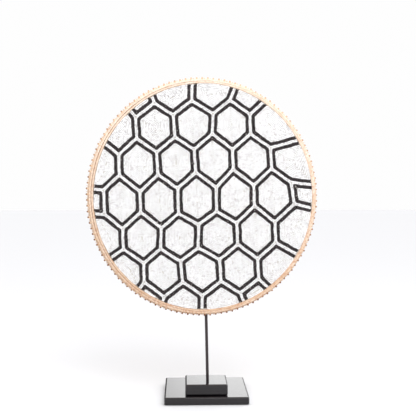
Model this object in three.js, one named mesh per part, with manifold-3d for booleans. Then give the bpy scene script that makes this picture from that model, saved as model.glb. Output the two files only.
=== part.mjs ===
// A round shield covered with glass seed beads, on its display stand.
// Millimetres, +Z up, the beaded face looks along -Y. The origin is the middle of the stand's underside.
import * as THREE from "three";
import { mergeVertices } from "three/addons/utils/BufferGeometryUtils.js";
import Module from "manifold-3d";

const wasm = await Module();
wasm.setup();

// ---- Driving dimensions ----

const gap = 0.3; // left between neighbouring pieces

const plate = { side: 178.6, height: 16.2, cornerRadius: 5, chamfer: 3, chamferHeight: 2 };
const block = { side: 89.8, height: 23, cornerRadius: 4, chamfer: 3, chamferHeight: 2, forward: 29 };

// The rod stands in the block and leans a little back and to the left.
const rod = { radius: 3, right: 3.2, socket: 12, top: 478, leanBack: 2.5, leanLeft: 1.15 };
const tie = { heights: [253, 453], width: 11, thickness: 1.6 };

// Half width and half height of each ring, measured from the shield's middle, and how far its centre is
// off to the right: the shield is a slightly tall oval, and the hand-bent cane isn't quite concentric.
const shieldCentre = { x: -3.7, z: 396.7 };
const spokeTips = { halfWidth: 250, halfHeight: 257.8, right: 0 };
const wovenEdge = { halfWidth: 246.2, halfHeight: 254, right: 0.3 };
const hoopOutside = { halfWidth: 243.6, halfHeight: 251.4, right: 0.9 };
const hoopSeam = { halfWidth: 239.5, halfHeight: 247.3, right: 1.7 };
const beadEdge = { halfWidth: 235.3, halfHeight: 243, right: 2.6 };
const backHoopInside = { halfWidth: 232, halfHeight: 240, right: 0.9 };

const weaveThickness = 8;
const frontHoopThickness = 4;
const backHoopThickness = 4;
const hoopEdgeRound = 1;
const ovalSteps = 64;

const spoke = { count: 129, radius: 2.1, sides: 5, rootDepth: 8, lengthSpread: 0.9, middle: 2.6 };

const beadLayer = 3; // cloth and beads together
const outlineDepth = 2.2; // how deep the black strings sit in the white ones

// The honeycomb: cells across and between rows, the upright side of a cell, how much each row slips
// sideways for its height, and the turn and the middle of the whole.
const comb = { pitch: 81.7, rowPitch: 76, uprightSide: 44.7, slip: -0.013, turn: 1, x: -10.5, z: -4.7 };

// The hand that laid the strings wandered in two slow waves: how far right and up, and how fast it
// turns over across and up the shield, in radians a millimetre.
const waves = [
  { right: 0.8, up: -2.1, across: 0.053, upward: -0.047, start: 3.28 },
  { right: -1, up: 5.5, across: 0.003, upward: 0.013, start: 6.25 },
];

// The corners that stray most from the even pattern: cell, corner of the cell, and how far.
const strays = [
  { cell: [-2, 0], corner: 5, right: 5, up: 5 },
  { cell: [-2, 0], corner: 4, right: 4, up: 0 },
  { cell: [0, 0], corner: 1, right: 2, up: -4 },
  { cell: [0, 0], corner: 2, right: -1, up: -6 },
  { cell: [-1, 0], corner: 2, right: -2, up: -4 },
  { cell: [0, -1], corner: 2, right: -5, up: 0 },
  { cell: [-1, -1], corner: 2, right: -3, up: -2 },
  { cell: [0, -2], corner: 1, right: -3, up: 3 },
  { cell: [-1, 2], corner: 1, right: 3, up: 3 },
  { cell: [2, 0], corner: 2, right: 4, up: 3 },
];
const ribHalf = 3.7; // half of the white rib between two cells
const outlineWidth = 6.3; // two strings of black beads

// Clock directions of the ribs that run from the outermost corners to the rim, clockwise from the top.
const ribHeadings = [3, 23, 48, 76, 97, 104, 120, 134, 156, 183, 201, 214, 236, 274, 275, 310, 322, 343];

// ---- Materials ----

const material = (color, roughness, metalness = 0) =>
  new THREE.MeshStandardMaterial({ color, roughness, metalness });

const lacquer = material(0x2b282c, 0.15);
const blackenedSteel = material(0x2a1f22, 0.4, 0.6);
const paleCane = material(0xf0d2b0, 0.55);
const darkCane = material(0xe2bd92, 0.6);
const raffia = material(0xcfa67c, 0.8);
const whiteBeads = material(0xf4f3f3, 0.3);
const blackBeads = material(0x2e2628, 0.25);

// ---- Geometry helpers ----

function toSolid(geometry) {
  const bare = geometry.clone();
  bare.deleteAttribute("normal");
  bare.deleteAttribute("uv");
  const merged = mergeVertices(bare, 1e-4);
  const vertProperties = merged.getAttribute("position").array;
  const triVerts = new Uint32Array(merged.index.array);
  return new wasm.Manifold(new wasm.Mesh({ numProp: 3, vertProperties, triVerts }));
}

function toGeometry(solid) {
  const { vertProperties, triVerts, numProp } = solid.getMesh();
  const geometry = new THREE.BufferGeometry();
  geometry.setAttribute("position", new THREE.BufferAttribute(vertProperties, numProp));
  geometry.setIndex(new THREE.BufferAttribute(triVerts, 1));
  geometry.computeVertexNormals();
  return geometry;
}

function addMesh(parent, name, geometry, finish) {
  const mesh = new THREE.Mesh(geometry, finish);
  mesh.name = name;
  parent.add(mesh);
  return mesh;
}

// A square slab with rounded corners and chamfered edges, standing on z = 0.
function chamferedSlab({ side, height, cornerRadius, chamfer, chamferHeight }) {
  const half = side / 2 - chamfer;
  const r = cornerRadius - chamfer / 2;
  const outline = new THREE.Shape();
  outline.moveTo(half - r, -half);
  outline.absarc(half - r, -half + r, r, -Math.PI / 2, 0);
  outline.absarc(half - r, half - r, r, 0, Math.PI / 2);
  outline.absarc(-half + r, half - r, r, Math.PI / 2, Math.PI);
  outline.absarc(-half + r, -half + r, r, Math.PI, 1.5 * Math.PI);
  const slab = new THREE.ExtrudeGeometry(outline, {
    depth: height - 2 * chamferHeight,
    bevelThickness: chamferHeight,
    bevelSize: chamfer,
    bevelSegments: 1,
    curveSegments: 3,
  });
  return slab.translate(0, 0, chamferHeight);
}

// Points on an oval of the shield, grown outwards by a distance.
function ovalPoints(oval, grow = 0) {
  return Array.from({ length: ovalSteps }, (_, i) => {
    const angle = (2 * Math.PI * i) / ovalSteps;
    const x = oval.right + (oval.halfWidth + grow) * Math.sin(angle);
    const z = (oval.halfHeight + grow) * Math.cos(angle);
    return new THREE.Vector2(x, z);
  });
}

// Extrudes a shape drawn on the shield's face, from one depth to another: -Y is the front.
function faceSlab(shape, front, back, bevel = 0) {
  const slab = new THREE.ExtrudeGeometry(shape, {
    depth: back - front - 2 * bevel,
    bevelEnabled: bevel > 0,
    bevelThickness: bevel,
    bevelSize: bevel,
    bevelOffset: -bevel,
    bevelSegments: 1,
  });
  return slab.rotateX(Math.PI / 2).translate(0, back - bevel, 0);
}

// A closed band between two clockwise outlines: a hole has to run the other way round.
function bandShape(outside, inside) {
  const shape = new THREE.Shape(outside);
  shape.holes.push(new THREE.Path(inside.toReversed()));
  return shape;
}

// A cane hoop between two ovals, with a little play on both sides.
function hoop(outside, inside, front, back) {
  const shape = bandShape(ovalPoints(outside, -gap / 2), ovalPoints(inside, gap / 2));
  return faceSlab(shape, front, back, hoopEdgeRound);
}

// ---- The stand ----

function makeBlockWithSocket() {
  const slab = toSolid(chamferedSlab(block));
  const bore = new THREE.CylinderGeometry(rod.radius + gap, rod.radius + gap, 2 * rod.socket, 16);
  bore.rotateX(Math.PI / 2);
  bore.rotateY(THREE.MathUtils.degToRad(-rod.leanLeft));
  bore.rotateX(THREE.MathUtils.degToRad(-rod.leanBack));
  bore.translate(rod.right, 0, block.height);
  return toGeometry(slab.subtract(toSolid(bore)));
}

// The rod from its foot in the socket to its rounded top, along +Z.
function makeRod() {
  const foot = gap - rod.socket;
  const profile = [new THREE.Vector2(0, foot), new THREE.Vector2(rod.radius, foot)];
  const domeSteps = 4;
  for (let i = 0; i <= domeSteps; i += 1) {
    const angle = (i / domeSteps) * (Math.PI / 2);
    const out = i === domeSteps ? 0 : rod.radius * Math.cos(angle);
    profile.push(new THREE.Vector2(out, rod.top - rod.radius + rod.radius * Math.sin(angle)));
  }
  return new THREE.LatheGeometry(profile, 16).rotateX(Math.PI / 2);
}

// A lashing that holds the rod against the back of the weave: a strap round the back of the rod.
function makeTie(middle, reach) {
  const inner = rod.radius + gap;
  const outer = inner + tie.thickness;
  const strap = new THREE.Shape();
  strap.moveTo(outer, -reach);
  strap.lineTo(outer, 0);
  strap.absarc(0, 0, outer, 0, Math.PI);
  strap.lineTo(-outer, -reach);
  strap.lineTo(-inner, -reach);
  strap.lineTo(-inner, 0);
  strap.absarc(0, 0, inner, Math.PI, 0, true);
  strap.lineTo(inner, -reach);
  const geometry = new THREE.ExtrudeGeometry(strap, {
    depth: tie.width,
    bevelEnabled: false,
    curveSegments: 8,
  });
  return geometry.translate(0, 0, middle - tie.width / 2);
}

// ---- The woven shield ----

// The woven disc, whose spokes end as short stubs all round its edge.
function makeWovenDisc() {
  const disc = new THREE.Shape(ovalPoints(wovenEdge));
  let weave = toSolid(faceSlab(disc, 0, weaveThickness));
  for (let i = 0; i < spoke.count; i += 1) {
    const angle = (2 * Math.PI * (i + 0.5)) / spoke.count;
    const cut = spoke.lengthSpread * Math.sin(2.4 * i) ** 2;
    const tip = new THREE.Vector3(
      (spokeTips.halfWidth - cut) * Math.sin(angle),
      0,
      (spokeTips.halfHeight - cut) * Math.cos(angle),
    );
    const length = spokeTips.halfWidth - wovenEdge.halfWidth + spoke.rootDepth;
    const stub = new THREE.CylinderGeometry(spoke.radius, spoke.radius, length, spoke.sides);
    stub.translate(0, -length / 2, 0);
    const outward = tip.clone().normalize();
    stub.applyQuaternion(new THREE.Quaternion().setFromUnitVectors(new THREE.Vector3(0, 1, 0), outward));
    stub.translate(tip.x, spoke.middle, tip.z);
    weave = weave.add(toSolid(stub));
  }
  return toGeometry(weave);
}

// ---- The honeycomb ----

const turn = THREE.MathUtils.degToRad(comb.turn);
const slantRise = comb.rowPitch - comb.uprightSide;

// Corners of a cell clockwise from its top, from its middle, and the cell across the side that follows.
const cornerOffsets = [
  [0, comb.uprightSide / 2 + slantRise],
  [comb.pitch / 2, comb.uprightSide / 2],
  [comb.pitch / 2, -comb.uprightSide / 2],
  [0, -comb.uprightSide / 2 - slantRise],
  [-comb.pitch / 2, -comb.uprightSide / 2],
  [-comb.pitch / 2, comb.uprightSide / 2],
];
const neighbourSteps = [
  [0, 1],
  [1, 0],
  [1, -1],
  [0, -1],
  [-1, 0],
  [-1, 1],
];

const ringOf = (column, row) => Math.max(Math.abs(column), Math.abs(row), Math.abs(column + row));

// Where a corner lies before the hand wanders.
function evenCorner(column, row, corner) {
  const up = row * comb.rowPitch + cornerOffsets[corner][1];
  const along = (column + row / 2) * comb.pitch + cornerOffsets[corner][0] + comb.slip * up;
  const x = along * Math.cos(turn) - up * Math.sin(turn);
  const z = along * Math.sin(turn) + up * Math.cos(turn);
  return new THREE.Vector2(comb.x + x, comb.z + z);
}

// A corner on the shield's face, as it was laid by hand.
function cornerOf(column, row, corner) {
  const even = evenCorner(column, row, corner);
  const laid = even.clone();
  for (const { right, up, across, upward, start } of waves) {
    const swing = Math.sin(across * even.x + upward * even.y + start);
    laid.add(new THREE.Vector2(right * swing, up * swing));
  }
  const isHere = (stray) => evenCorner(...stray.cell, stray.corner).distanceTo(even) < 1;
  const stray = strays.find(isHere);
  if (stray) laid.add(new THREE.Vector2(stray.right, stray.up));
  return laid;
}

function cellsInRing(ring) {
  const cells = [];
  for (let column = -ring; column <= ring; column += 1)
    for (let row = -ring; row <= ring; row += 1)
      if (ringOf(column, row) === ring) cells.push({ column, row });
  return cells;
}

const clockOf = (point) => (Math.atan2(point.x - comb.x, point.y - comb.z) + 2 * Math.PI) % (2 * Math.PI);

const wholeRings = 2;

// The corners that a cut cell shares with the whole ones, clockwise round the cut cell.
function sharedCorners({ column, row }) {
  const sides = neighbourSteps.map(([c, r]) => ringOf(column + c, row + r) <= wholeRings);
  const first = sides.findIndex((shared, k) => shared && !sides[(k + 5) % 6]);
  const corners = [];
  for (let k = first; sides[k % 6] && k < first + 6; k += 1) corners.push(cornerOf(column, row, k % 6));
  const last = (first + corners.length) % 6;
  return [...corners, cornerOf(column, row, last)];
}

// A whole cell is its six corners. A cut cell runs out along its two ribs, past the rim.
function cellOutlines() {
  const whole = [];
  for (let ring = 0; ring <= wholeRings; ring += 1)
    for (const { column, row } of cellsInRing(ring))
      whole.push(cornerOffsets.map((_, corner) => cornerOf(column, row, corner)));

  const pastTheRim = 120;
  const cut = cellsInRing(wholeRings + 1).map(sharedCorners);
  cut.sort((a, b) => clockOf(a[0]) - clockOf(b[0]));
  const ribEnd = (start, heading) => {
    const angle = THREE.MathUtils.degToRad(heading);
    return new THREE.Vector2(Math.sin(angle), Math.cos(angle)).multiplyScalar(pastTheRim).add(start);
  };
  return {
    whole,
    cut: cut.map((corners, i) => {
      // The first heading belongs to the corner at the top, which starts the first cut cell.
      const before = ribHeadings[i];
      const after = ribHeadings[(i + 1) % ribHeadings.length];
      return [...corners, ribEnd(corners.at(-1), before), ribEnd(corners[0], after)];
    }),
  };
}

// Moves every side of a clockwise outline inwards by a distance.
function inset(points, distance) {
  const sides = points.map((from, i) => {
    const to = points[(i + 1) % points.length];
    const along = to.clone().sub(from).normalize();
    const inward = new THREE.Vector2(along.y, -along.x);
    return { point: from.clone().addScaledVector(inward, distance), along };
  });
  return sides.map((side, i) => {
    const before = sides[(i + sides.length - 1) % sides.length];
    const between = side.point.clone().sub(before.point);
    const reach = between.cross(side.along) / before.along.cross(side.along);
    return before.point.clone().addScaledVector(before.along, reach);
  });
}

// The band of black strings just inside a cell's ribs, grown a little where it cuts its own groove.
function outlineBand(points, grow, front, back) {
  const outside = inset(points, ribHalf - grow);
  const inside = inset(points, ribHalf + outlineWidth + grow);
  return toSolid(faceSlab(bandShape(outside, inside), front, back));
}

const largestBody = (solid) => solid.decompose().sort((a, b) => b.volume() - a.volume())[0];

// ---- Put together ----

const shieldAndStand = new THREE.Group();

addMesh(shieldAndStand, "base_plate", chamferedSlab(plate), lacquer);

const blockMesh = addMesh(shieldAndStand, "base_block", makeBlockWithSocket(), lacquer);
blockMesh.position.set(0, -block.forward, plate.height + gap);

const upright = new THREE.Group();
upright.position.set(rod.right, -block.forward, plate.height + gap + block.height);
upright.rotation.set(
  THREE.MathUtils.degToRad(-rod.leanBack),
  THREE.MathUtils.degToRad(-rod.leanLeft),
  0,
);
shieldAndStand.add(upright);
addMesh(upright, "rod", makeRod(), blackenedSteel);

// The shield's face plane is where the front hoops and the bead cloth lie on the weave.
const weaveBack = weaveThickness + gap + backHoopThickness + gap + rod.radius;
const shield = new THREE.Group();
shield.position.set(shieldCentre.x, -weaveBack, shieldCentre.z);
upright.add(shield);

tie.heights.forEach((height, i) => {
  const name = i === 0 ? "lower_rod_tie" : "upper_rod_tie";
  addMesh(upright, name, makeTie(height, weaveBack - weaveThickness - gap), raffia);
});

addMesh(shield, "woven_disc", makeWovenDisc(), raffia);
addMesh(
  shield,
  "front_hoop_outer",
  hoop(hoopOutside, hoopSeam, -gap - frontHoopThickness, -gap),
  paleCane,
);
addMesh(
  shield,
  "front_hoop_inner",
  hoop(hoopSeam, beadEdge, -gap - frontHoopThickness, -gap),
  darkCane,
);
addMesh(
  shield,
  "back_hoop",
  hoop(hoopOutside, backHoopInside, weaveThickness + gap, weaveThickness + gap + backHoopThickness),
  paleCane,
);

const beadFront = -gap - beadLayer;
const beadField = new THREE.Shape(ovalPoints(beadEdge, -gap / 2));
const outlineField = new THREE.Shape(ovalPoints(beadEdge, -gap));
const outlineBounds = toSolid(faceSlab(outlineField, beadFront - 1, 0));
let whiteField = toSolid(faceSlab(beadField, beadFront, -gap));

const { whole, cut } = cellOutlines();
const outlines = [
  ...whole.map((points, i) => ({ name: `cell_outline_${i + 1}`, points })),
  ...cut.map((points, i) => ({ name: `rim_cell_outline_${i + 1}`, points })),
];
for (const { name, points } of outlines) {
  const strings = outlineBand(points, 0, beadFront, beadFront + outlineDepth).intersect(outlineBounds);
  addMesh(shield, name, toGeometry(largestBody(strings)), blackBeads);
  whiteField = whiteField.subtract(
    outlineBand(points, gap, beadFront - 1, beadFront + outlineDepth + gap),
  );
}
addMesh(shield, "bead_field", toGeometry(whiteField), whiteBeads);

export default shieldAndStand;
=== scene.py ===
# Round basketry shield faced with glass seed beads, on its black display stand.
# Pieces are drawn in millimetres and put in place in metres. The beaded face looks along -Y.
import math
import random

import bmesh
import bpy
import numpy as np
from mathutils import Matrix, Vector, noise


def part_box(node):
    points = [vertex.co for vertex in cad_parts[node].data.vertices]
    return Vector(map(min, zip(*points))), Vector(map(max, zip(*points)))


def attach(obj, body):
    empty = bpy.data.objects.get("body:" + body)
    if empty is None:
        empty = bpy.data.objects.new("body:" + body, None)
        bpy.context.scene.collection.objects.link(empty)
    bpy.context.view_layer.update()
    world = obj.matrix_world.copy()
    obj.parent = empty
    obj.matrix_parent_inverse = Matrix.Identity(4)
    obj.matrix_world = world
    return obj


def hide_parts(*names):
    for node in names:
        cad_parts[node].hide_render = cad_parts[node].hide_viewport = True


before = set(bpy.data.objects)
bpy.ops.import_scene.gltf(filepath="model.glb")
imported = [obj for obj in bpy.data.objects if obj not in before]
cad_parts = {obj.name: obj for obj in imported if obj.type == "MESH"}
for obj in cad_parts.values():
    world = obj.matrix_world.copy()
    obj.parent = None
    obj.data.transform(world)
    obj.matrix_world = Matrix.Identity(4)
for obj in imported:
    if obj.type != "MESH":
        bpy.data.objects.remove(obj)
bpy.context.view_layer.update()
scene = bpy.context.scene
millimetres = Matrix.Scale(0.001, 4)
fullTurn = 2 * math.pi

# Camera.

camera = {
    "location": (-0.05022, -1.73854, 0.46396),
    "lookAlong": (0.03185, 0.99901, -0.03105),
    "lens": 68.9,
    "sensor": 36,
}

lens = bpy.data.cameras.new("camera")
lens.lens = camera["lens"]
lens.sensor_width = camera["sensor"]
viewer = bpy.data.objects.new("camera", lens)
viewer.location = camera["location"]
viewer.rotation_euler = Vector(camera["lookAlong"]).to_track_quat("-Z", "Y").to_euler()
scene.collection.objects.link(viewer)
scene.camera = viewer
scene.view_settings.view_transform = "Standard"
print("camera set")


# Small helpers.


def linearColour(hexColour):
    channels = [int(hexColour[i : i + 2], 16) / 255 for i in (0, 2, 4)]
    return [c / 12.92 if c <= 0.04045 else ((c + 0.055) / 1.055) ** 2.4 for c in channels] + [1]


def addNode(tree, kind, inputs=None, **settings):
    node = tree.nodes.new(kind)
    for key, value in settings.items():
        setattr(node, key, value)
    for key, value in (inputs or {}).items():
        if isinstance(value, bpy.types.NodeSocket):
            tree.links.new(value, node.inputs[key])
        else:
            node.inputs[key].default_value = value
    return node


def startMaterial(name, **constants):
    material = bpy.data.materials.new(name)
    material.use_nodes = True
    tree = material.node_tree
    shader = tree.nodes["Principled BSDF"]
    for key, value in constants.items():
        shader.inputs[key.replace("_", " ")].default_value = value
    return material, tree, shader


def finishPiece(bm, name, place, materials, replaced, smooth=True):
    bmesh.ops.transform(bm, matrix=place, verts=bm.verts)
    mesh = bpy.data.meshes.new(name)
    bm.to_mesh(mesh)
    bm.free()
    for material in materials:
        mesh.materials.append(material)
    if smooth:
        mesh.shade_smooth()
    piece = bpy.data.objects.new(name, mesh)
    scene.collection.objects.link(piece)
    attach(piece, "root")
    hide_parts(*replaced)
    return piece


def storeNumbers(mesh, name, domain, numbers):
    layer = mesh.attributes.new(name, "FLOAT", domain)
    layer.data.foreach_set("value", np.asarray(numbers, np.float32))


# Where the upright and the shield stand.

upright = {"rodRight": 3.2, "forward": 29, "blockTop": 39.5, "leanBack": 2.5, "leanLeft": 1.15}
shield = {"centre": (-3.7, -15.6, 396.7), "gap": 0.3}

uprightPlace = (
    millimetres
    @ Matrix.Translation((upright["rodRight"], -upright["forward"], upright["blockTop"]))
    @ Matrix.Rotation(math.radians(-upright["leanBack"]), 4, "X")
    @ Matrix.Rotation(math.radians(-upright["leanLeft"]), 4, "Y")
)
shieldPlace = uprightPlace @ Matrix.Translation(shield["centre"])

# Half width, half height and how far right of the middle each ring of the shield lies.
rings = {
    "spokeTips": (250, 257.8, 0),
    "wovenEdge": (246.2, 254, 0.3),
    "hoopOutside": (243.6, 251.4, 0.9),
    "hoopSeam": (239.5, 247.3, 1.7),
    "beadEdge": (235.3, 243, 2.6),
    "backHoopInside": (232, 240, 0.9),
}


def betweenRings(outside, inside):
    return [(a + b) / 2 for a, b in zip(rings[outside], rings[inside])]


# Materials.

# Brushed black lacquer on wood: a deep black that mirrors the room, with a faint film of dust.
lacquerFinish = {"black": "130f12", "dust": "221c20", "filmSize": 14, "orangePeelSize": 5}


def lacquerMaterial():
    material, tree, shader = startMaterial(
        "blackLacquerOnWood", IOR=1.33, Coat_Weight=1.0, Coat_Roughness=0.1, Coat_IOR=1.33
    )
    place = addNode(tree, "ShaderNodeTexCoord").outputs["Object"]
    film = addNode(
        tree,
        "ShaderNodeTexNoise",
        {"Vector": place, "Scale": 1000 / lacquerFinish["filmSize"], "Detail": 6, "Roughness": 0.65},
    )
    dust = addNode(tree, "ShaderNodeMapRange", {0: film.outputs["Fac"], 1: 0.4, 2: 0.75, 3: 0.0, 4: 0.3})
    colour = addNode(
        tree,
        "ShaderNodeMix",
        {
            0: dust.outputs[0],
            6: linearColour(lacquerFinish["black"]),
            7: linearColour(lacquerFinish["dust"]),
        },
        data_type="RGBA",
    )
    rough = addNode(tree, "ShaderNodeMapRange", {0: film.outputs["Fac"], 1: 0.3, 2: 0.7, 3: 0.1, 4: 0.2})
    peel = addNode(
        tree,
        "ShaderNodeTexNoise",
        {"Vector": place, "Scale": 1000 / lacquerFinish["orangePeelSize"], "Detail": 2},
    )
    bump = addNode(
        tree,
        "ShaderNodeBump",
        {"Strength": 0.03, "Distance": 0.0002, "Height": peel.outputs["Fac"]},
    )
    tree.links.new(colour.outputs[2], shader.inputs["Base Color"])
    tree.links.new(rough.outputs[0], shader.inputs["Roughness"])
    tree.links.new(bump.outputs["Normal"], shader.inputs["Normal"])
    return material


# Steel rod painted satin black: a soft warm sheen along it, fine grain from the brush.
steelFinish = {"paint": "241a1c", "worn": "3d2f30", "brushSize": 3}


def steelMaterial():
    material, tree, shader = startMaterial("satinBlackPaintedSteel", IOR=1.5)
    place = addNode(tree, "ShaderNodeTexCoord").outputs["Object"]
    stretched = addNode(tree, "ShaderNodeMapping", {"Vector": place, "Scale": (1, 1, 0.12)})
    grain = addNode(
        tree,
        "ShaderNodeTexNoise",
        {"Vector": stretched.outputs[0], "Scale": 1000 / steelFinish["brushSize"], "Detail": 5},
    )
    worn = addNode(tree, "ShaderNodeMapRange", {0: grain.outputs["Fac"], 1: 0.45, 2: 0.8, 3: 0.0, 4: 0.6})
    colour = addNode(
        tree,
        "ShaderNodeMix",
        {0: worn.outputs[0], 6: linearColour(steelFinish["paint"]), 7: linearColour(steelFinish["worn"])},
        data_type="RGBA",
    )
    rough = addNode(tree, "ShaderNodeMapRange", {0: grain.outputs["Fac"], 1: 0.3, 2: 0.7, 3: 0.3, 4: 0.48})
    bump = addNode(
        tree,
        "ShaderNodeBump",
        {"Strength": 0.2, "Distance": 0.0001, "Height": grain.outputs["Fac"]},
    )
    tree.links.new(colour.outputs[2], shader.inputs["Base Color"])
    tree.links.new(rough.outputs[0], shader.inputs["Roughness"])
    tree.links.new(bump.outputs["Normal"], shader.inputs["Normal"])
    return material


# Split rattan cane: pale straw, browner low on the shield as painted shade, with random browner patches, a
# dull waxy skin.
# The fibres are half a millimetre wide in life and drawn three times as coarse, so that they show.
caneFinish = {"fibreWidth": 1.5, "fibreLength": 22, "blotchSize": 30, "speckSize": 4, "speck": "c89a7c"}


def caneMaterial(name, pale, fibre, darkening):
    material, tree, shader = startMaterial(name, IOR=1.48)
    along = addNode(tree, "ShaderNodeUVMap", uv_map="alongCane").outputs["UV"]
    stretched = addNode(
        tree,
        "ShaderNodeMapping",
        {"Vector": along, "Scale": (1 / caneFinish["fibreLength"], 1 / caneFinish["fibreWidth"], 1)},
    )
    fibres = addNode(
        tree,
        "ShaderNodeTexNoise",
        {"Vector": stretched.outputs[0], "Scale": 1.0, "Detail": 3, "Roughness": 0.6},
        noise_dimensions="2D",
    )
    streaks = addNode(
        tree, "ShaderNodeMapRange", {0: fibres.outputs["Fac"], 1: 0.42, 2: 0.68, 3: 0.0, 4: 0.9}
    )
    place = addNode(tree, "ShaderNodeTexCoord").outputs["Object"]
    patches = addNode(
        tree,
        "ShaderNodeTexNoise",
        {"Vector": place, "Scale": 1000 / caneFinish["blotchSize"], "Detail": 3},
    )
    specks = addNode(
        tree,
        "ShaderNodeTexNoise",
        {"Vector": place, "Scale": 1000 / caneFinish["speckSize"], "Detail": 2, "Roughness": 0.6},
    )
    height = addNode(tree, "ShaderNodeSeparateXYZ", {0: place}).outputs["Z"]
    # Painted shade: the cane turns browner towards the foot of the shield, where less light falls.
    low = addNode(tree, "ShaderNodeMapRange", {0: height, 1: 0.6, 2: 0.22, 3: 0.0, 4: 0.75})
    patchy = addNode(
        tree, "ShaderNodeMapRange", {0: patches.outputs["Fac"], 1: 0.3, 2: 0.7, 3: -0.2, 4: 0.35}
    )
    shadeAndPatches = addNode(tree, "ShaderNodeMath", {0: low.outputs[0], 1: patchy.outputs[0]}, use_clamp=True)
    skin = addNode(
        tree,
        "ShaderNodeMix",
        {0: shadeAndPatches.outputs[0], 6: linearColour(pale), 7: linearColour(darkening)},
        data_type="RGBA",
    )
    colour = addNode(
        tree,
        "ShaderNodeMix",
        {0: streaks.outputs[0], 6: skin.outputs[2], 7: linearColour(fibre)},
        data_type="RGBA",
        blend_type="MULTIPLY",
    )
    speckled = addNode(
        tree, "ShaderNodeMapRange", {0: specks.outputs["Fac"], 1: 0.47, 2: 0.62, 3: 0.0, 4: 0.85}
    )
    # Specks are marks in the cane; more of them show low on the shield, adding to the painted shade there.
    speckShare = addNode(tree, "ShaderNodeMath", {0: low.outputs[0], 1: 0.4}, operation="ADD")
    share = addNode(
        tree, "ShaderNodeMath", {0: speckled.outputs[0], 1: speckShare.outputs[0]}, operation="MULTIPLY"
    )
    marked = addNode(
        tree,
        "ShaderNodeMix",
        {0: share.outputs[0], 6: colour.outputs[2], 7: linearColour(caneFinish["speck"])},
        data_type="RGBA",
    )
    rough = addNode(tree, "ShaderNodeMapRange", {0: fibres.outputs["Fac"], 1: 0.3, 2: 0.7, 3: 0.42, 4: 0.62})
    bump = addNode(
        tree,
        "ShaderNodeBump",
        {"Strength": 0.4, "Distance": 0.0003, "Height": fibres.outputs["Fac"]},
        invert=True,
    )
    tree.links.new(marked.outputs[2], shader.inputs["Base Color"])
    tree.links.new(rough.outputs[0], shader.inputs["Roughness"])
    tree.links.new(bump.outputs["Normal"], shader.inputs["Normal"])
    return material


# Dried raffia, twined wet and left to dry: matt straw, ramped to a darker tone as painted shade down in the
# valleys of the weave and low on the border and knots, and as random tone on reeds and cords.
raffiaFinish = {"strandWidth": 0.8}


def raffiaMaterial(name, lightTone, darkTone):
    material, tree, shader = startMaterial(name, IOR=1.45)
    depth = addNode(tree, "ShaderNodeAttribute", attribute_name="lightTone").outputs["Fac"]
    place = addNode(tree, "ShaderNodeTexCoord").outputs["Object"]
    strands = addNode(
        tree,
        "ShaderNodeTexNoise",
        {"Vector": place, "Scale": 1000 / (4 * raffiaFinish["strandWidth"]), "Detail": 4, "Roughness": 0.7},
    )
    mottled = addNode(tree, "ShaderNodeMath", {0: strands.outputs["Fac"], 1: 0.7}, operation="MULTIPLY")
    raised = addNode(tree, "ShaderNodeMath", {0: depth, 1: mottled.outputs[0]}, operation="ADD")
    light = addNode(tree, "ShaderNodeMapRange", {0: raised.outputs[0], 1: 0.3, 2: 1.15, 3: 0.0, 4: 1.0})
    colour = addNode(
        tree,
        "ShaderNodeMix",
        {0: light.outputs[0], 6: linearColour(darkTone), 7: linearColour(lightTone)},
        data_type="RGBA",
    )
    rough = addNode(
        tree, "ShaderNodeMapRange", {0: strands.outputs["Fac"], 1: 0.3, 2: 0.7, 3: 0.62, 4: 0.85}
    )
    bump = addNode(
        tree,
        "ShaderNodeBump",
        {"Strength": 0.4, "Distance": 0.0004, "Height": strands.outputs["Fac"]},
    )
    tree.links.new(colour.outputs[2], shader.inputs["Base Color"])
    tree.links.new(rough.outputs[0], shader.inputs["Roughness"])
    tree.links.new(bump.outputs["Normal"], shader.inputs["Normal"])
    return material


# The cut end of a reed: brown pith, darker in the middle, dry and matt.
def cutReedMaterial(light, dark):
    material, tree, shader = startMaterial("cutReedPith", IOR=1.45)
    # The tone attribute brings painted shade, darkest at the foot of the shield, with random tone mixed in.
    tone = addNode(tree, "ShaderNodeAttribute", attribute_name="tone").outputs["Fac"]
    place = addNode(tree, "ShaderNodeTexCoord").outputs["Object"]
    pith = addNode(tree, "ShaderNodeTexNoise", {"Vector": place, "Scale": 1000 / 1.5, "Detail": 3})
    mixed = addNode(tree, "ShaderNodeMath", {0: pith.outputs["Fac"], 1: tone}, operation="ADD")
    share = addNode(tree, "ShaderNodeMapRange", {0: mixed.outputs[0], 1: 0.45, 2: 1.4, 3: 0.0, 4: 1.0})
    colour = addNode(
        tree,
        "ShaderNodeMix",
        {0: share.outputs[0], 6: linearColour(light), 7: linearColour(dark)},
        data_type="RGBA",
    )
    rough = addNode(tree, "ShaderNodeMapRange", {0: pith.outputs["Fac"], 1: 0.3, 2: 0.7, 3: 0.7, 4: 0.9})
    tree.links.new(colour.outputs[2], shader.inputs["Base Color"])
    tree.links.new(rough.outputs[0], shader.inputs["Roughness"])
    return material


# Opaque glass seed beads: smooth and glossy, each a little different from its neighbour.
def beadMaterial(name, usual, odd, smoothest, dullest):
    material, tree, shader = startMaterial(name, IOR=1.52)
    tone = addNode(tree, "ShaderNodeAttribute", attribute_name="tone").outputs["Fac"]
    colour = addNode(
        tree,
        "ShaderNodeMix",
        {0: tone, 6: linearColour(usual), 7: linearColour(odd)},
        data_type="RGBA",
    )
    rough = addNode(tree, "ShaderNodeMapRange", {0: tone, 1: 0.0, 2: 1.0, 3: smoothest, 4: dullest})
    tree.links.new(colour.outputs[2], shader.inputs["Base Color"])
    tree.links.new(rough.outputs[0], shader.inputs["Roughness"])
    return material


# White cotton backing cloth, seen only between the strings: a matt plain weave. Its threads are 0.6 mm
# apart in life and drawn six times as coarse, so that they show.
clothFinish = {"thread": 0.6, "white": "f2efea", "shade": "cfcac2"}


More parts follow.
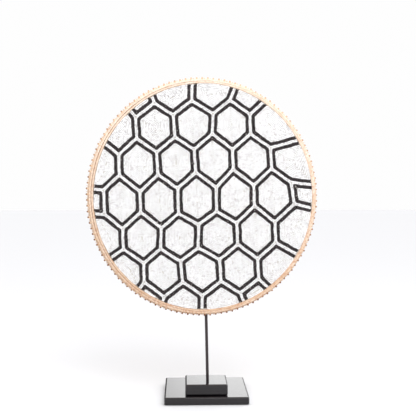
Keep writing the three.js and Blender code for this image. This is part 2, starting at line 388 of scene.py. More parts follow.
def clothMaterial():
    material, tree, shader = startMaterial("whiteCottonBacking", IOR=1.45)
    place = addNode(tree, "ShaderNodeTexCoord").outputs["Object"]
    waves = []
    for direction in ("X", "Z"):
        wave = addNode(
            tree,
            "ShaderNodeTexWave",
            {"Vector": place, "Scale": 1000 / clothFinish["thread"] / 20, "Distortion": 0.6},
            bands_direction=direction,
        )
        waves.append(wave.outputs["Fac"])
    weave = addNode(tree, "ShaderNodeMath", {0: waves[0], 1: waves[1]}, operation="MULTIPLY")
    colour = addNode(
        tree,
        "ShaderNodeMix",
        {0: weave.outputs[0], 6: linearColour(clothFinish["shade"]), 7: linearColour(clothFinish["white"])},
        data_type="RGBA",
    )
    bump = addNode(tree, "ShaderNodeBump", {"Strength": 0.4, "Distance": 0.0002, "Height": weave.outputs[0]})
    rough = addNode(tree, "ShaderNodeMapRange", {0: weave.outputs[0], 1: 0.0, 2: 1.0, 3: 0.95, 4: 0.85})
    tree.links.new(colour.outputs[2], shader.inputs["Base Color"])
    tree.links.new(rough.outputs[0], shader.inputs["Roughness"])
    tree.links.new(bump.outputs["Normal"], shader.inputs["Normal"])
    return material


lacquer = lacquerMaterial()
steel = steelMaterial()
paleCane = caneMaterial("paleSplitCane", "f5e6d7", "f2dfcb", "dec3a9")
darkCane = caneMaterial("darkSplitCane", "f2e1d0", "f0dac3", "dabb9f")
raffia = raffiaMaterial("driedRaffiaWeave", "dcb88c", "7d5a38")
borderRaffia = raffiaMaterial("paleRaffiaBorder", "eddccb", "bd9a7e")
reedSkin = raffiaMaterial("reedSkin", "f0d2b2", "cc9f74")
cutReed = cutReedMaterial("dcb79b", "84563a")
whiteGlass = beadMaterial("opaqueWhiteSeedBeads", "fdfdfd", "d2cecf", 0.2, 0.4)
blackGlass = beadMaterial("opaqueBlackSeedBeads", "1d1315", "35272a", 0.2, 0.4)
cotton = clothMaterial()
print("materials made")

# The stand: a plate and a block with chamfered top and bottom edges, and the rod in its socket.

plate = {"cornerRadius": 4, "chamfer": 3, "chamferHeight": 1.8, "softness": 0.4}
block = {
    "cornerRadius": 3.5,
    "chamfer": 3,
    "chamferHeight": 1.8,
    "softness": 0.4,
    "boreGap": 0.15,
    "boreDepth": 11.7,
}
rod = {"radius": 3.2, "foot": -11.6, "top": 478, "dome": 2.6, "sides": 32}


def keepFacesFlat(piece):
    flat = piece.modifiers.new("flat faces stay flat", "WEIGHTED_NORMAL")
    flat.keep_sharp = True
    flat.weight = 100


def bevelEdges(bm, edges, offset, segments):
    bmesh.ops.bevel(
        bm,
        geom=edges,
        offset=offset,
        offset_type="OFFSET",
        affect="EDGES",
        segments=segments,
        profile=0.5,
        material=-1,
    )


def chamferedSlab(low, high, settings):
    bm = bmesh.new()
    bmesh.ops.create_cube(bm, size=1)
    # The chamfer is wider than it is high, so the slab is cut while it stands taller than it is.
    taller = settings["chamfer"] / settings["chamferHeight"]
    size = Vector((high.x - low.x, high.y - low.y, taller * (high.z - low.z)))
    bmesh.ops.scale(bm, vec=size, verts=bm.verts)
    upEdges = [e for e in bm.edges if abs(e.verts[0].co.z - e.verts[1].co.z) > size.z / 2]
    bevelEdges(bm, upEdges, settings["cornerRadius"], 5)
    rim = [e for e in bm.edges if e.verts[0].co.z == e.verts[1].co.z]
    bevelEdges(bm, rim, settings["chamfer"], 1)
    bmesh.ops.scale(bm, vec=(1, 1, 1 / taller), verts=bm.verts)
    ridges = [e for e in bm.edges if abs(e.verts[0].co.z - e.verts[1].co.z) < 0.001]
    bevelEdges(bm, ridges, settings["softness"], 2)
    bmesh.ops.translate(bm, vec=(low + high) / 2, verts=bm.verts)
    return bm


def cadBoxMillimetres(node):
    low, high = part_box(node)
    return low * 1000, high * 1000


plateMesh = chamferedSlab(*cadBoxMillimetres("base_plate"), plate)
keepFacesFlat(
    finishPiece(plateMesh, "lacquered_plate", millimetres, [lacquer], ["base_plate"])
)

blockMesh = chamferedSlab(*cadBoxMillimetres("base_block"), block)
topFace = max(blockMesh.faces, key=lambda f: (round(f.calc_center_median().z, 3), f.calc_area()))
topEdges = list(topFace.edges)
bmesh.ops.delete(blockMesh, geom=[topFace], context="FACES_ONLY")
mouth = bmesh.ops.create_circle(
    blockMesh, cap_ends=False, segments=rod["sides"], radius=rod["radius"] + block["boreGap"]
)["verts"]
bmesh.ops.translate(
    blockMesh, vec=(upright["rodRight"], -upright["forward"], upright["blockTop"]), verts=mouth
)
mouthEdges = list(dict.fromkeys(e for v in mouth for e in v.link_edges))
bmesh.ops.triangle_fill(blockMesh, use_beauty=True, normal=(0, 0, 1), edges=topEdges + mouthEdges)
for edge in mouthEdges:
    edge.smooth = False
wall = bmesh.ops.extrude_edge_only(blockMesh, edges=mouthEdges)["geom"]
floorVerts = [v for v in wall if isinstance(v, bmesh.types.BMVert)]
bmesh.ops.translate(blockMesh, vec=(0, 0, -block["boreDepth"]), verts=floorVerts)
floorEdges = [e for e in wall if isinstance(e, bmesh.types.BMEdge)]
bmesh.ops.contextual_create(blockMesh, geom=floorEdges)
bmesh.ops.recalc_face_normals(blockMesh, faces=blockMesh.faces)
keepFacesFlat(
    finishPiece(blockMesh, "lacquered_block", millimetres, [lacquer], ["base_block"])
)

rodMesh = bmesh.new()
bmesh.ops.create_cone(
    rodMesh,
    cap_ends=True,
    segments=rod["sides"],
    radius1=rod["radius"],
    radius2=rod["radius"],
    depth=rod["top"] - rod["foot"],
)
bmesh.ops.translate(rodMesh, vec=(0, 0, (rod["top"] + rod["foot"]) / 2), verts=rodMesh.verts)
topRim = [e for e in rodMesh.edges if min(v.co.z for v in e.verts) > rod["top"] - 1]
bevelEdges(rodMesh, topRim, rod["dome"], 5)
keepFacesFlat(finishPiece(rodMesh, "steel_rod", uprightPlace, [steel], ["rod"]))
print("stand made")

# Cane hoops and the woven border: rings bent to the shield's oval.


# A section gives half sizes across and in depth, the middle of its depth, its sides and squareness.
def bentRing(section, oval, steps, relief=None):
    bm = bmesh.new()
    radius = rings["spokeTips"][0]
    bmesh.ops.create_circle(bm, cap_ends=False, radius=1, segments=section["sides"])
    for v in bm.verts:
        turn = math.atan2(v.co.y, v.co.x)
        power = section["squareness"]
        v.co.x = math.copysign(abs(math.cos(turn)) ** power, math.cos(turn)) * section["across"]
        v.co.y = math.copysign(abs(math.sin(turn)) ** power, math.sin(turn)) * section["deep"]
    bmesh.ops.translate(bm, vec=(radius, section["middle"], 0), verts=bm.verts)
    bmesh.ops.spin(
        bm,
        geom=bm.verts[:] + bm.edges[:],
        cent=(0, 0, 0),
        axis=(0, 1, 0),
        dvec=(0, 0, 0),
        angle=fullTurn,
        steps=steps,
        use_merge=True,
        use_duplicate=False,
    )
    bmesh.ops.recalc_face_normals(bm, faces=bm.faces)
    along = bm.loops.layers.uv.new("alongCane")
    places = {}
    for v in bm.verts:
        clock = math.atan2(v.co.x, v.co.z) % fullTurn
        out = math.hypot(v.co.x, v.co.z) - radius
        deep = v.co.y - section["middle"]
        around = math.atan2(deep / section["deep"], out / section["across"])
        places[v] = (clock, around)
        if relief:
            grown, pushed = relief(clock, around)
            out += grown
            deep += pushed
        v.co = (
            oval[2] + (oval[0] + out) * math.sin(clock),
            section["middle"] + deep,
            (oval[1] + out) * math.cos(clock),
        )
    # The map runs in millimetres along the cane and round its section.
    girth = section["across"] + section["deep"]
    for face in bm.faces:
        clocks = [places[loop.vert][0] for loop in face.loops]
        arounds = [places[loop.vert][1] for loop in face.loops]
        for loop, clock, around in zip(face.loops, clocks, arounds):
            if max(clocks) - clock > math.pi:
                clock += fullTurn
            if max(arounds) - around > math.pi:
                around += fullTurn
            loop[along].uv = (clock * oval[0], around * girth / 1.6)
    return bm


hoop = {"steps": 256, "frontDepth": 2, "frontMiddle": -2.3, "backMiddle": 10.3, "play": 0.03, "wander": 0.3}


def handBent(seed):
    def relief(clock, around):
        place = Vector((math.sin(clock), math.cos(clock), 0)) * 4 + Vector((0, 0, seed))
        return hoop["wander"] * noise.noise(place), 0.5 * hoop["wander"] * noise.noise(place * 1.7)

    return relief


def caneHoop(name, outside, inside, middle, material, node, seed):
    section = {
        "across": (rings[outside][0] - rings[inside][0]) / 2 - hoop["play"],
        "deep": hoop["frontDepth"],
        "middle": middle,
        "sides": 12,
        "squareness": 0.42,
    }
    bm = bentRing(section, betweenRings(outside, inside), hoop["steps"], handBent(seed))
    return finishPiece(bm, name, shieldPlace, [material], [node])


canes = {"pale_cane": paleCane, "dark_cane": darkCane}
caneHoops = {
    "outer_cane_hoop": ("hoopOutside", "hoopSeam", "frontMiddle", "pale_cane", "front_hoop_outer", 3),
    "inner_cane_hoop": ("hoopSeam", "beadEdge", "frontMiddle", "dark_cane", "front_hoop_inner", 8),
    "back_cane_hoop": ("hoopOutside", "backHoopInside", "backMiddle", "pale_cane", "back_hoop", 21),
}
for name, (outside, inside, level, slot, node, seed) in caneHoops.items():
    caneHoop(name, outside, inside, hoop[level], canes[slot], node, seed)
print("hoops made")

# The border: raffia wound round the edge of the weave, bulging between the spokes.

spokes = {
    "count": 129,
    "radius": 2.1,
    "lengthSpread": 0.9,
    "sides": 8,
    "root": 236,
    "middle": 1.3,
    "cutSlant": 42,
    "mostShaded": 195,
}
border = {"across": 3.6, "deep": 3.2, "middle": 3.6, "bulge": 0.6, "twist": 0.25, "overhang": 0.9}


def borderRelief(clock, around):
    bulge = 0.5 - 0.5 * math.cos(spokes["count"] * clock - math.pi)
    wrap = math.cos(2 * spokes["count"] * clock + around)
    grown = -border["bulge"] * bulge + border["twist"] * wrap
    return grown * max(0.2, math.cos(around)), border["twist"] * wrap * math.sin(around)


borderOval = [half - border["across"] + border["overhang"] for half in rings["wovenEdge"][:2]] + [0.3]
borderSection = {
    "across": border["across"],
    "deep": border["deep"],
    "middle": border["middle"],
    "sides": 12,
    "squareness": 0.8,
}
borderMesh = bentRing(borderSection, borderOval, 6 * spokes["count"], borderRelief)
borderPiece = finishPiece(
    borderMesh, "raffia_border", shieldPlace, [borderRaffia], ["woven_disc"]
)
# Painted shade: the border darkens low on the shield, with random mottling.
borderShadeAndTone = [1.35 * v.co.z - 0.15 + 0.6 * noise.noise(v.co * 300) for v in borderPiece.data.vertices]
storeNumbers(borderPiece.data, "lightTone", "POINT", borderShadeAndTone)

# Reed spokes: their cut ends stand out all round, sliced at a slant so that the pith shows.

random.seed(41)
spokeMesh = bmesh.new()
spokeTones = []
reedCrests = []
for i in range(spokes["count"]):
    clock = fullTurn * (i + 0.5) / spokes["count"]
    cut = spokes["lengthSpread"] * math.sin(2.4 * i) ** 2
    halfWidth, halfHeight, right = rings["spokeTips"]
    tip = Vector(((halfWidth - cut) * math.sin(clock), 0, (halfHeight - cut) * math.cos(clock)))
    tipRadius = tip.length
    made = bmesh.ops.create_cone(
        spokeMesh,
        cap_ends=True,
        segments=spokes["sides"],
        radius1=spokes["radius"],
        radius2=spokes["radius"],
        depth=tipRadius - spokes["root"],
    )["verts"]
    bmesh.ops.translate(spokeMesh, vec=(0, 0, (tipRadius + spokes["root"]) / 2), verts=made)
    # Local Z runs out along the spoke and local -Y is the front.
    slant = math.tan(math.radians(spokes["cutSlant"] + random.uniform(-6, 6)))
    for v in made:
        if v.co.z > spokes["root"] + 1:
            v.co.z -= (spokes["radius"] - v.co.y) / slant
    around = Matrix.Rotation(math.atan2(tip.x, tip.z), 4, "Y")
    bmesh.ops.transform(spokeMesh, matrix=around, verts=made)
    bmesh.ops.translate(spokeMesh, vec=(0, spokes["middle"], 0), verts=made)
    for face in {f for v in made for f in v.link_faces}:
        if len(face.verts) > 4 and face.calc_center_median().length > spokes["root"] + 4:
            face.material_index = 1
    # The ends carry painted shade, darkest at the foot of the shield, where they face the floor away from
    # the light.
    darkening = 0.5 + 0.5 * math.cos(clock - math.radians(spokes["mostShaded"]))
    tone = min(1, max(0, 0.08 + 0.8 * darkening + random.uniform(-0.15, 0.2)))
    spokeTones += [tone] * len(made)
    reedCrests += [random.uniform(0.4, 1)] * len(made)
spokePiece = finishPiece(
    spokeMesh,
    "reed_spoke_ends",
    shieldPlace,
    [reedSkin, cutReed],
    ["woven_disc"],
    smooth=False,
)
storeNumbers(spokePiece.data, "tone", "POINT", spokeTones)
storeNumbers(spokePiece.data, "lightTone", "POINT", reedCrests)

# Raffia knots between the spokes.

knots = {"radius": 1.4, "reach": 1.0, "depth": 1.9, "shape": (0.8, 1, 1.3), "mostShaded": 235}
random.seed(57)
knotMesh = bmesh.new()
knotShadeAndTone = []
for i in range(spokes["count"]):
    clock = fullTurn * (i + 0.9 + random.uniform(-0.06, 0.06)) / spokes["count"]
    size = knots["radius"] * random.uniform(0.75, 1.1)
    place = Vector(
        (
            rings["wovenEdge"][2] + (rings["wovenEdge"][0] + knots["reach"]) * math.sin(clock),
            knots["depth"] + random.uniform(-0.4, 0.4),
            (rings["wovenEdge"][1] + knots["reach"]) * math.cos(clock),
        )
    )
    turned = Matrix.Translation(place) @ Matrix.Rotation(clock, 4, "Y")
    made = bmesh.ops.create_icosphere(
        knotMesh, subdivisions=1, radius=size, matrix=turned @ Matrix.Diagonal((*knots["shape"], 1))
    )["verts"]
    # Painted shade: the knots darken towards the lower left, with random tone mixed in.
    darkening = 0.5 + 0.5 * math.cos(clock - math.radians(knots["mostShaded"]))
    knotShadeAndTone += [0.9 - 0.5 * darkening**2 + random.uniform(-0.2, 0.1)] * len(made)
knotPiece = finishPiece(
    knotMesh, "raffia_knots", shieldPlace, [borderRaffia], ["woven_disc"]
)
storeNumbers(knotPiece.data, "lightTone", "POINT", knotShadeAndTone)
print("rim made")

# The weave: raffia twined round the spokes, which shows on the back.

weave = {
    "edge": 243.2,
    "rowPitch": 3.1,
    "relief": 1.5,
    "front": 0.2,
    "back": 8,
    "zones": [(0, 43), (52, 86), (118, 129)],
    "turns": 3 * 129,
}


def twining(clock, radius):
    stitches = [count for start, count in weave["zones"] if radius >= start][-1]
    row = radius / weave["rowPitch"]
    across = row % 1
    stitch = stitches * clock / fullTurn + 0.5 * int(row) + 0.3 * across
    height = math.sin(math.pi * across) ** 0.7 * (0.4 + 0.6 * (0.5 + 0.5 * math.cos(fullTurn * stitch)))
    for start, count in weave["zones"][1:]:
        if abs(radius - start) < weave["rowPitch"]:
            height = max(height, 1.25 * math.cos((radius - start) / weave["rowPitch"] * math.pi / 2) ** 0.5)
    return height


weaveMesh = bmesh.new()
rows = round(weave["edge"] / weave["rowPitch"])
line = [weaveMesh.verts.new((0, weave["back"] - 1, 0))]
for step in range(1, 2 * rows + 1):
    line.append(weaveMesh.verts.new((weave["edge"] * step / (2 * rows), weave["back"], 0)))
line.append(weaveMesh.verts.new((weave["edge"], weave["front"], 0)))
line.append(weaveMesh.verts.new((weave["edge"] / 2, weave["front"], 0)))
line.append(weaveMesh.verts.new((0, weave["front"], 0)))
for a, b in zip(line, line[1:]):
    weaveMesh.edges.new((a, b))
bmesh.ops.spin(
    weaveMesh,
    geom=weaveMesh.verts[:] + weaveMesh.edges[:],
    cent=(0, 0, 0),
    axis=(0, 1, 0),
    dvec=(0, 0, 0),
    angle=fullTurn,
    steps=weave["turns"],
    use_merge=True,
    use_duplicate=False,
)
bmesh.ops.remove_doubles(weaveMesh, verts=weaveMesh.verts, dist=0.001)
bmesh.ops.recalc_face_normals(weaveMesh, faces=weaveMesh.faces)
# Painted shade: each point's height in the weave also darkens it down in the valleys.
weaveValleyShade = []
for v in weaveMesh.verts:
    clock = math.atan2(v.co.x, v.co.z) % fullTurn
    radius = math.hypot(v.co.x, v.co.z)
    height = 0.6
    if v.co.y > weave["back"] - 2 and radius < weave["edge"] - 0.5:
        height = twining(clock, radius) + 0.15 * noise.noise(v.co * 0.12)
        v.co.y = weave["back"] - weave["relief"] * (1.1 - height)
    weaveValleyShade.append(min(1, max(0, height)))
    v.co.z *= rings["wovenEdge"][1] / rings["wovenEdge"][0]
weavePiece = finishPiece(weaveMesh, "twined_weave", shieldPlace, [raffia], ["woven_disc"])
storeNumbers(weavePiece.data, "lightTone", "POINT", weaveValleyShade)
print("weave made:", len(weavePiece.data.polygons), "faces")

# Lashings that hold the rod to the back of the weave.

lashing = {
    "heights": {"lower_rod_tie": 253, "upper_rod_tie": 453},
    "turns": 6,
    "cord": 0.85,
    "pitch": 1.8,
    "sides": 8,
    "bendSteps": 12,
    "legs": 7.2,
}


def lashRod(node, middle):
    bm = bmesh.new()
    for i in range(lashing["turns"]):
        height = middle + lashing["pitch"] * (i - (lashing["turns"] - 1) / 2)
        reach = rod["radius"] + shield["gap"] + lashing["cord"]
        section = bmesh.ops.create_circle(
            bm, cap_ends=False, radius=lashing["cord"], segments=lashing["sides"]
        )["verts"]
        bmesh.ops.rotate(bm, cent=(0, 0, 0), matrix=Matrix.Rotation(math.pi / 2, 3, "X"), verts=section)
        bmesh.ops.translate(bm, vec=(reach, 0, height), verts=section)
        edges = list(dict.fromkeys(e for v in section for e in v.link_edges))
        bent = bmesh.ops.spin(
            bm,
            geom=section + edges,
            cent=(0, 0, 0),
            axis=(0, 0, 1),
            dvec=(0, 0, 0),
            angle=math.pi,
            steps=lashing["bendSteps"],
            use_merge=False,
            use_duplicate=False,
        )["geom_last"]
        farEdges = [e for e in bent if isinstance(e, bmesh.types.BMEdge)]
        for loop in (edges, farEdges):
            leg = bmesh.ops.extrude_edge_only(bm, edges=loop)["geom"]
            ends = [v for v in leg if isinstance(v, bmesh.types.BMVert)]
            bmesh.ops.translate(bm, vec=(0, -lashing["legs"], 0), verts=ends)
            bmesh.ops.contextual_create(bm, geom=[e for e in leg if isinstance(e, bmesh.types.BMEdge)])
    bmesh.ops.recalc_face_normals(bm, faces=bm.faces)
    piece = finishPiece(bm, node + "_lashing", uprightPlace, [raffia], [node])
    cordCrests = [0.7 + 0.3 * noise.noise(v.co * 900) for v in piece.data.vertices]
    storeNumbers(piece.data, "lightTone", "POINT", cordCrests)


for node, middle in lashing["heights"].items():
    lashRod(node, middle)
print("lashings made")

# The honeycomb that the strings follow: an even pattern, moved and turned as a whole. The rib headings
# are in degrees clockwise from the top. They and the two tables below came out of a fitting program,
# and ten of the headings were then changed by hand.

comb = {
    "pitch": 81.7,
    "rowPitch": 76,
    "uprightSide": 44.7,
    "slip": -0.013,
    "turn": math.radians(1),
    "x": -10.5,
    "z": -4.7,
    "wholeRings": 2,
    "ribHeadings": [3, 23, 48, 76, 97, 104, 120, 134, 156, 183, 201, 214, 236, 274, 275, 310, 322, 343],
}

# How far the corners lie from the even pattern, as two slow waves: millimetres, and radians a millimetre.
waves = [
    {"right": 0.8, "up": -2.1, "across": 0.053, "upward": -0.047, "start": 3.28},
    {"right": -1, "up": 5.5, "across": 0.003, "upward": 0.013, "start": 6.25},
]

# The corners that still lie furthest off: cell, corner of the cell, and millimetres right and up.
strays = [
    {"cell": (-2, 0), "corner": 5, "right": 5, "up": 5},
    {"cell": (-2, 0), "corner": 4, "right": 4, "up": 0},
    {"cell": (0, 0), "corner": 1, "right": 2, "up": -4},
    {"cell": (0, 0), "corner": 2, "right": -1, "up": -6},
    {"cell": (-1, 0), "corner": 2, "right": -2, "up": -4},
    {"cell": (0, -1), "corner": 2, "right": -5, "up": 0},
    {"cell": (-1, -1), "corner": 2, "right": -3, "up": -2},
    {"cell": (0, -2), "corner": 1, "right": -3, "up": 3},
    {"cell": (-1, 2), "corner": 1, "right": 3, "up": 3},
    {"cell": (2, 0), "corner": 2, "right": 4, "up": 3},
]

slantRise = comb["rowPitch"] - comb["uprightSide"]
halfPitch, halfSide = comb["pitch"] / 2, comb["uprightSide"] / 2
cornerOffsets = [
    (0, halfSide + slantRise),
    (halfPitch, halfSide),
    (halfPitch, -halfSide),
    (0, -halfSide - slantRise),
    (-halfPitch, -halfSide),
    (-halfPitch, halfSide),
]
neighbourSteps = [(0, 1), (1, 0), (1, -1), (0, -1), (-1, 0), (-1, 1)]


def ringOf(column, row):
    return max(abs(column), abs(row), abs(column + row))


def evenCorner(column, row, corner):
    up = row * comb["rowPitch"] + cornerOffsets[corner][1]
    along = (column + row / 2) * comb["pitch"] + cornerOffsets[corner][0] + comb["slip"] * up
    x = along * math.cos(comb["turn"]) - up * math.sin(comb["turn"])
    z = along * math.sin(comb["turn"]) + up * math.cos(comb["turn"])
    return Vector((comb["x"] + x, comb["z"] + z))


def cornerOf(column, row, corner):
    even = evenCorner(column, row, corner)
    laid = even.copy()
    for wave in waves:
        swing = math.sin(wave["across"] * even.x + wave["upward"] * even.y + wave["start"])
        laid += Vector((wave["right"], wave["up"])) * swing
    for stray in strays:
        if (evenCorner(*stray["cell"], stray["corner"]) - even).length < 1:
            laid += Vector((stray["right"], stray["up"]))
    return laid


def cellsInRing(ring):
    span = range(-ring, ring + 1)
    return [(c, r) for c in span for r in span if ringOf(c, r) == ring]


def sharedCorners(column, row):
    sides = [ringOf(column + c, row + r) <= comb["wholeRings"] for c, r in neighbourSteps]
    first = next(k for k in range(6) if sides[k] and not sides[k - 1])
    corners = []
    k = first
    while sides[k % 6] and k < first + 6:
        corners.append(cornerOf(column, row, k % 6))
        k += 1
    return corners + [cornerOf(column, row, k % 6)]


def clockOf(point):
    return math.atan2(point.x - comb["x"], point.y - comb["z"]) % fullTurn


def ribEnd(start, heading):
    angle = math.radians(heading)
    return start + 120 * Vector((math.sin(angle), math.cos(angle)))


wholeCells = []
for ring in range(comb["wholeRings"] + 1):
    for column, row in cellsInRing(ring):
        wholeCells.append([cornerOf(column, row, corner) for corner in range(6)])
cutCells = sorted(
    (sharedCorners(column, row) for column, row in cellsInRing(comb["wholeRings"] + 1)),
    key=lambda corners: clockOf(corners[0]),
)
headings = comb["ribHeadings"]
for i, corners in enumerate(cutCells):
    corners += [ribEnd(corners[-1], headings[i]), ribEnd(corners[0], headings[(i + 1) % len(headings)])]

# Strings of beads: rib, outline and filling all follow the cell, ring inside ring.

strings = {
    "pitch": 2.2,
    "width": 3.2,
    "depth": 2.7,
    "length": 2.25,
    "middle": -1.95,
    "rib": 1.6,
    "black": (5.0, 8.2),
    "blackScale": 1.24,
    "firstFill": 11.7,
    "fillPitch": 3.2,
    "rimMargin": 1.7,
    "sewnMargin": 1.5,
    "rimSides": 120,
    "waver": 0.9,
    "waverLength": 14,
    "scatter": 0.14,
    "blackScatter": 0.34,
    "sampling": 0.8,
    "missing": 0.004,
    "roundings": (1, 1, 2, 3, 4),
    "fillSpread": (0.985, 1.015),
    "smallestLoop": 1.2,
    "endWidth": 0.8,
    "largest": 1.1,
    "sizeSpread": 0.045,
    "lean": 0.07,
    "nod": 0.06,
    "lift": 0.25,
    "rarity": 5,
}


def sidesOf(corners):
    sides = []
    for start, end in zip(corners, corners[1:] + corners[:1]):
        along = (end - start).normalized()
        sides.append((start, Vector((along.y, -along.x))))
    return sides


def trimLoop(points, start, inward):
    kept = []
    for a, b in zip(points, points[1:] + points[:1]):
        depthA, depthB = (a - start).dot(inward), (b - start).dot(inward)
        if depthA >= 0:
            kept.append(a)
        if (depthA >= 0) != (depthB >= 0):
            kept.append(a.lerp(b, depthA / (depthA - depthB)))
    return kept


def insetLoop(corners, sides, distance):
    loop = list(corners)
    for start, inward in sides:
        loop = trimLoop(loop, start + inward * distance, inward)
    return loop


# Even steps round a closed loop, at least three of them.
def walkLoop(points, step):
    lengths = [(b - a).length for a, b in zip(points, points[1:] + points[:1])]
    total = sum(lengths)
    count = max(3, round(total / step))
    walked, side, passed = [], 0, 0.0
    for i in range(count):
        target = total * i / count
        while passed + lengths[side] < target:
            passed += lengths[side]
            side += 1
        share = (target - passed) / max(lengths[side], 1e-9)
        walked.append(points[side].lerp(points[(side + 1) % len(points)], share))
    return walked


def roundCorners(points, reach):
    count = len(points)
    window = range(-reach, reach + 1)
    rounded = []
    for i in range(count):
        near = [points[(i + k) % count] for k in window]
        rounded.append(sum(near, Vector((0, 0))) / len(near))
    return rounded


def insideBeadEdge(point, margin):
    halfWidth, halfHeight, right = rings["beadEdge"]
    x, z = (point.x - right) / (halfWidth - margin), point.y / (halfHeight - margin)
    return x * x + z * z < 1


# The rim as a set of straight sides, so that a cut cell's filling can follow it.
rimSides = []
for i in range(strings["rimSides"]):
    halfWidth, halfHeight, right = rings["beadEdge"]
    clock = fullTurn * i / strings["rimSides"]
    touch = Vector((right + halfWidth * math.sin(clock), halfHeight * math.cos(clock)))
    outward = Vector((math.sin(clock) / halfWidth, math.cos(clock) / halfHeight)).normalized()
    rimSides.append((touch, -outward))


# Bead places round one loop: where each sits and which way its string runs.
def layString(loop, rounding, spread):
    dense = walkLoop(loop, strings["sampling"])
    dense = roundCorners(dense, min(rounding, len(dense) // 8))
    walked = walkLoop(dense, strings["pitch"])
    places = []
    for i, point in enumerate(walked):
        if not insideBeadEdge(point, strings["sewnMargin"]) or random.random() < strings["missing"]:
            continue
        along = (walked[(i + 1) % len(walked)] - walked[i - 1]).normalized()
        drift = noise.noise_vector(Vector((point.x, point.y, 7)) / strings["waverLength"]) * strings["waver"]
        scatter = Vector((random.gauss(0, spread), random.gauss(0, spread)))
        places.append((point + drift.xy + scatter, along))
    return places


def middleOf(points):
    return sum(points, Vector((0, 0))) / len(points)


def sizeOf(points):
    middle = middleOf(points)
    return max((p - middle).length for p in points)


random.seed(12)
noise.seed_set(12)
beads = {"rib": [], "blackWhole": [], "blackRim": [], "fill": []}
for corners in wholeCells + cutCells:
    whole = corners in wholeCells
    sides = sidesOf(corners)
    if not whole:
        del sides[-2]  # the side between the two rib ends lies outside the rim
    rounding = random.choice(strings["roundings"])
    beads["rib"] += layString(insetLoop(corners, sides, strings["rib"]), rounding + 1, strings["scatter"])
    for distance in strings["black"]:
        loop = insetLoop(corners, sides, distance)
        beads["blackWhole" if whole else "blackRim"] += layString(loop, rounding, strings["blackScatter"])
    fillPitch = strings["fillPitch"] * random.uniform(*strings["fillSpread"])
    ring = 0
    while True:
        loop = insetLoop(corners, sides, strings["firstFill"] + ring * fillPitch)
        if not whole and loop:
            for start, inward in rimSides:
                loop = trimLoop(loop, start + inward * (strings["rimMargin"] + ring * fillPitch), inward)
                if not loop:
                    break
        if len(loop) < 3 or sizeOf(loop) < strings["smallestLoop"]:
            break
        beads["fill"] += layString(loop, rounding, strings["scatter"])
        ring += 1
print("bead places:", {kind: len(places) for kind, places in beads.items()})


def beadShape():
    bm = bmesh.new()
    end = strings["endWidth"]
    bmesh.ops.create_cone(bm, cap_ends=True, segments=6, radius1=end, radius2=end, depth=1)
    cut = bmesh.ops.bisect_plane(
        bm, geom=bm.verts[:] + bm.edges[:] + bm.faces[:], plane_co=(0, 0, 0), plane_no=(0, 0, 1), dist=0.0001
    )["geom_cut"]
    belt = [v for v in cut if isinstance(v, bmesh.types.BMVert)]
    bmesh.ops.scale(bm, vec=(1 / end, 1 / end, 1), verts=belt)
    # Six flat sides take a little off the width.
    size = (strings["width"] / 2 / 0.93, strings["depth"] / 2, strings["length"])
    bmesh.ops.scale(bm, vec=size, verts=bm.verts)
    mesh = bpy.data.meshes.new("bead")
    bm.to_mesh(mesh)
    bm.free()
    return mesh


bead = beadShape()
beadVerts = len(bead.vertices)


def stringBeads(name, places, material, replaced, scale=1):
    bm = bmesh.new()
    tones = []
    for point, along in places:
        size = scale * min(strings["largest"], random.gauss(1, strings["sizeSpread"]))
        lean = random.gauss(0, strings["lean"])
        nod = random.gauss(0, strings["nod"])
        tilt = Matrix.Rotation(lean, 4, "Y") @ Matrix.Rotation(nod, 4, "X")
        out = strings["middle"] - strings["lift"] * random.random()
        turned = Matrix(
            (
                (along.y, 0, along.x, point.x),
                (0, 1, 0, out),
                (-along.x, 0, along.y, point.y),
                (0, 0, 0, 1),
            )
        )
        place = turned @ tilt @ Matrix.Scale(size, 4)
        bead.transform(place)
        bm.from_mesh(bead)
        bead.transform(place.inverted())
        tones += [random.random() ** strings["rarity"]] * beadVerts
    piece = finishPiece(bm, name, shieldPlace, [material], replaced)
    storeNumbers(piece.data, "tone", "POINT", tones)
    mapAcrossFace(piece.data)
    print(name, len(places), "beads")


# A flat map across the shield's face, which the beads lie on like tiles.
def mapAcrossFace(mesh):
    points = np.empty(len(mesh.vertices) * 3)
    mesh.vertices.foreach_get("co", points)
    back = np.array(shieldPlace.inverted())
    local = points.reshape(-1, 3) @ back[:3, :3].T + back[:3, 3]
    flat = local[:, [0, 2]]
    flat = (flat - flat.min(0)) / np.ptp(flat, axis=0).max()
    corner = np.empty(len(mesh.loops), np.int32)
    mesh.loops.foreach_get("vertex_index", corner)
    mesh.uv_layers.new(name="OFBake").data.foreach_set("uv", flat[corner].astype(np.float32).ravel())


outlineNodes = [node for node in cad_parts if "cell_outline" in node]
wholeOutlines = [node for node in outlineNodes if not node.startswith("rim")]
rimOutlines = [node for node in outlineNodes if node.startswith("rim")]
for name, kind, nodes in (
    ("black_strings_whole_cells", "blackWhole", wholeOutlines),
    ("black_strings_rim_cells", "blackRim", rimOutlines),
):
    stringBeads(name, beads[kind], blackGlass, nodes, strings["blackScale"])
stringBeads("white_rib_strings", beads["rib"], whiteGlass, ["bead_field"])
quarters = {
    "white_filling_upper_left": (-1, 1),
    "white_filling_upper_right": (1, 1),
    "white_filling_lower_left": (-1, -1),
    "white_filling_lower_right": (1, -1),
}
for name, (side, level) in quarters.items():
    inQuarter = [b for b in beads["fill"] if (b[0].x >= 0) == (side > 0) and (b[0].y >= 0) == (level > 0)]
    stringBeads(name, inQuarter, whiteGlass, ["bead_field"])
bpy.data.meshes.remove(bead)

# The cloth that the beads are sewn to.

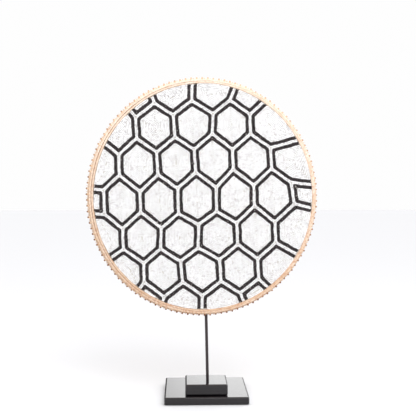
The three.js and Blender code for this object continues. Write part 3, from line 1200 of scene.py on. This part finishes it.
cloth = {"front": -0.95, "back": -0.35, "sides": 128}
clothMesh = bmesh.new()
bmesh.ops.create_circle(
    clothMesh,
    cap_ends=True,
    radius=1,
    segments=cloth["sides"],
    matrix=Matrix.Translation((rings["beadEdge"][2], cloth["front"], 0))
    @ Matrix.Diagonal((rings["beadEdge"][0] - 0.2, 1, rings["beadEdge"][1] - 0.2, 1))
    @ Matrix.Rotation(math.pi / 2, 4, "X"),
)
backFace = bmesh.ops.extrude_face_region(clothMesh, geom=clothMesh.faces[:])["geom"]
backVerts = [v for v in backFace if isinstance(v, bmesh.types.BMVert)]
bmesh.ops.translate(clothMesh, vec=(0, cloth["back"] - cloth["front"], 0), verts=backVerts)
bmesh.ops.recalc_face_normals(clothMesh, faces=clothMesh.faces)
finishPiece(clothMesh, "cotton_backing", shieldPlace, [cotton], ["bead_field"], smooth=False)
print("beads strung")

# Floor, room and lights.

room = {
    "floor": "d9d9db",
    "behind": 1.78,
    "front": 0.87,
    "rightGain": 0.12,
    "flagShade": 0.06,
    "overhead": 1.4,
    "shown": 0.99,
    "softLight": 26,
    "softLightSize": 1.4,
    "softLightPlace": (0.5, -1.6, 2.0),
    "softLightAim": (0, 0, 0.4),
    "floorSize": 12,
}

floorMesh = bmesh.new()
bmesh.ops.create_grid(floorMesh, x_segments=1, y_segments=1, size=room["floorSize"])
floorData = bpy.data.meshes.new("floor")
floorMesh.to_mesh(floorData)
floorMesh.free()
floorMaterial, _, floorShader = startMaterial("paleStudioFloor", Roughness=0.9, Specular_IOR_Level=0)
floorShader.inputs["Base Color"].default_value = linearColour(room["floor"])
floorData.materials.append(floorMaterial)
floor = bpy.data.objects.new("floor", floorData)
scene.collection.objects.link(floor)

world = bpy.data.worlds.new("studio")
scene.world = world
world.use_nodes = True
sky = world.node_tree
background = sky.nodes["Background"]
direction = addNode(sky, "ShaderNodeTexCoord").outputs["Generated"]
parts = addNode(sky, "ShaderNodeSeparateXYZ", {0: direction})
across, depth, height = (parts.outputs[axis] for axis in "XYZ")

# Soft edges in the room: the direction each runs along, where it starts and ends, and its levels there.
edges = {
    "frontToBack": (depth, -0.3, 0.7, room["front"], room["behind"]),
    "leftToRight": (across, -0.8, 0.8, 1 - room["rightGain"], 1 + room["rightGain"]),
    "leftOfMiddle": (across, 0.06, -0.2, 0, 1),
    "clearOfCorner": (across, -0.7, -0.4, 0, 1),
    "lowDown": (height, 0.21, 0.08, 0, 0.85),
    "farBehind": (depth, 0.3, 0.8, 0, 1),
    "overhead": (height, 0.86, 0.95, 0, room["overhead"]),
}
light = {}
for name, levels in edges.items():
    edge = addNode(
        sky, "ShaderNodeMapRange", dict(enumerate(levels)), interpolation_type="SMOOTHSTEP"
    )
    light[name] = edge.outputs[0]
# Black flags stand behind, high on the left and low all along, and a soft box hangs overhead:
# they show in the lacquer and along the edges of the rod.
for name, operation, *terms in (
    ("walls", "MULTIPLY", "frontToBack", "leftToRight"),
    ("behindLeft", "MULTIPLY", "leftOfMiddle", "clearOfCorner"),
    ("bothFlags", "MAXIMUM", "behindLeft", "lowDown"),
    ("flags", "MULTIPLY", "bothFlags", "farBehind"),
    ("shade", "MULTIPLY_ADD", "flags", room["flagShade"] - 1, 1.0),
    ("flagged", "MULTIPLY", "walls", "shade"),
    ("whole", "ADD", "flagged", "overhead"),
):
    terms = [light.get(term, term) for term in terms]
    light[name] = addNode(
        sky, "ShaderNodeMath", dict(enumerate(terms)), operation=operation
    ).outputs[0]
seen = addNode(sky, "ShaderNodeLightPath").outputs["Is Camera Ray"]
shown = addNode(sky, "ShaderNodeMix", {0: seen, 2: light["whole"], 3: room["shown"]})
sky.links.new(shown.outputs[0], background.inputs["Strength"])
background.inputs["Color"].default_value = (1, 1, 1, 1)

softLight = bpy.data.lights.new("soft light", "AREA")
softLight.shape = "SQUARE"
softLight.size = room["softLightSize"]
softLight.energy = room["softLight"]
lamp = bpy.data.objects.new("soft light", softLight)
lamp.location = room["softLightPlace"]
lamp.rotation_euler = (Vector(room["softLightAim"]) - lamp.location).to_track_quat("-Z", "Y").to_euler()
scene.collection.objects.link(lamp)
print("room lit")
